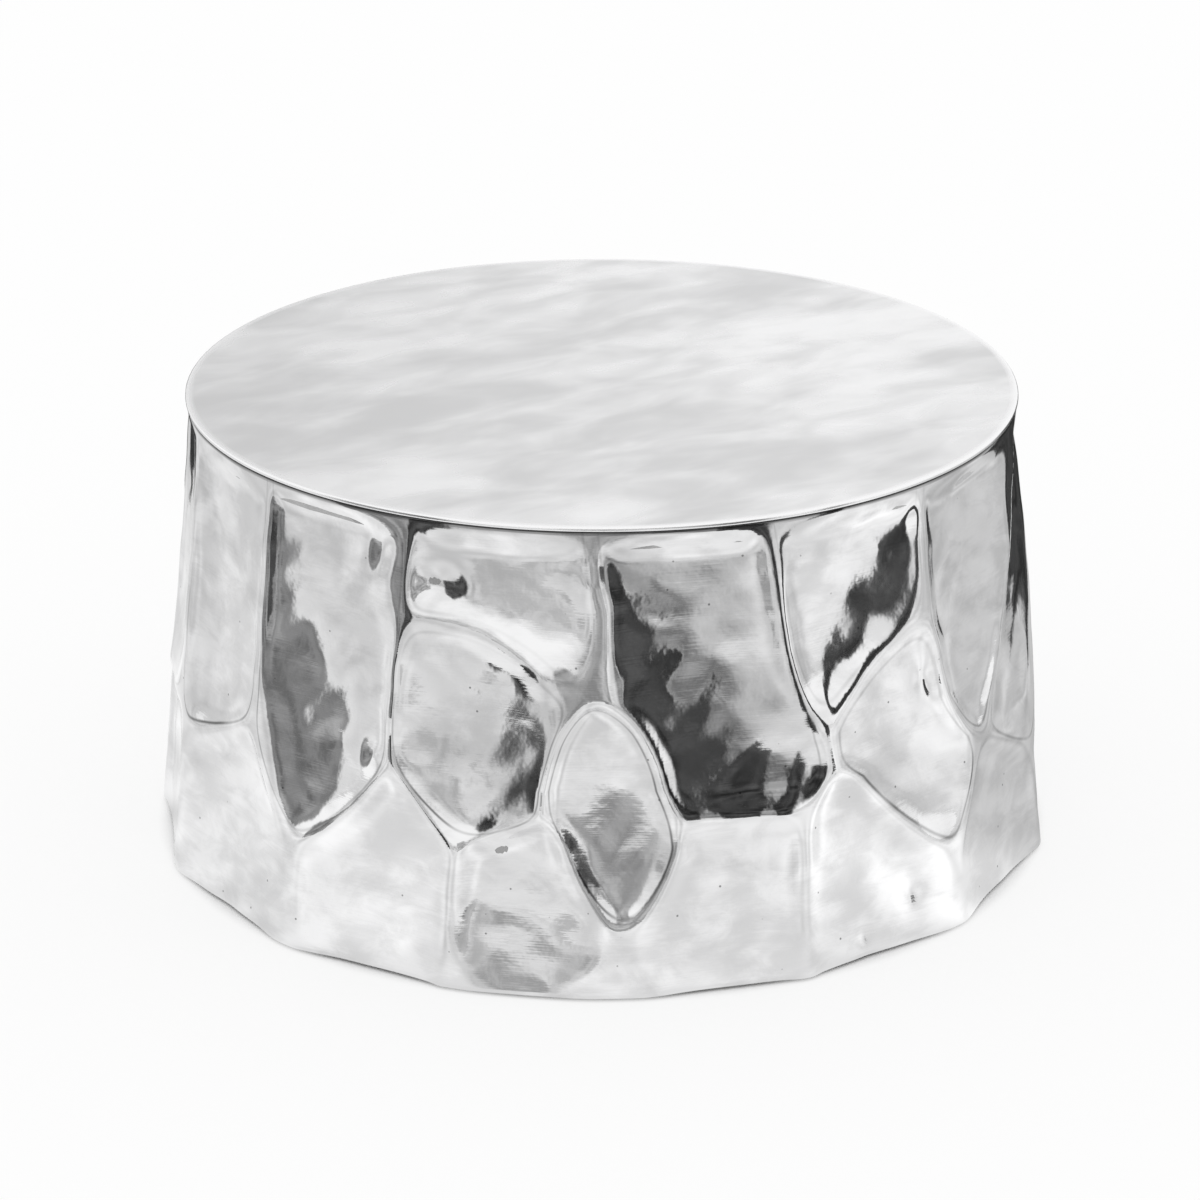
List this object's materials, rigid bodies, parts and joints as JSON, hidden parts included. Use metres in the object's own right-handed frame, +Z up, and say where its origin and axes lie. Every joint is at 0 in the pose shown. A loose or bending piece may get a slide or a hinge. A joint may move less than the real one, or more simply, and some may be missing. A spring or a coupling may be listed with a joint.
{
  "type": "coffee table",
  "caption": "Low round drum coffee table: hammered polished aluminium wall that widens to the foot, flat aluminium top, open underneath, on floor glides.",
  "frame": {"origin": "on the drum's axis at floor level", "axes": "+Z up along the drum's axis, -Y towards the pictured front, +X to the right as seen from the front"},
  "size_m": [0.5933, 0.5995, 0.305],
  "materials": {
    "hammered_aluminium": "mirror-polished, hammered into large hollows",
    "plate_aluminium": "cloudy satin polish",
    "ring_aluminium": "mill finish",
    "plywood": "raw birch plywood",
    "screw_steel": "bright zinc plate",
    "glide_nylon": "moulded black nylon"
  },
  "bodies": {
    "root": {"drum_wall": "hammered_aluminium", "top_plate": "plate_aluminium", "rim_ring": "ring_aluminium", "backing_board": "plywood", "board_screws": "screw_steel", "base_ring": "ring_aluminium", "floor_glide_1": "glide_nylon", "floor_glide_2": "glide_nylon", "floor_glide_3": "glide_nylon", "floor_glide_4": "glide_nylon", "floor_glide_5": "glide_nylon", "floor_glide_6": "glide_nylon", "glide_screws": "screw_steel", "glide_washers": "screw_steel", "glide_nuts": "screw_steel"}
  },
  "joints": []
}
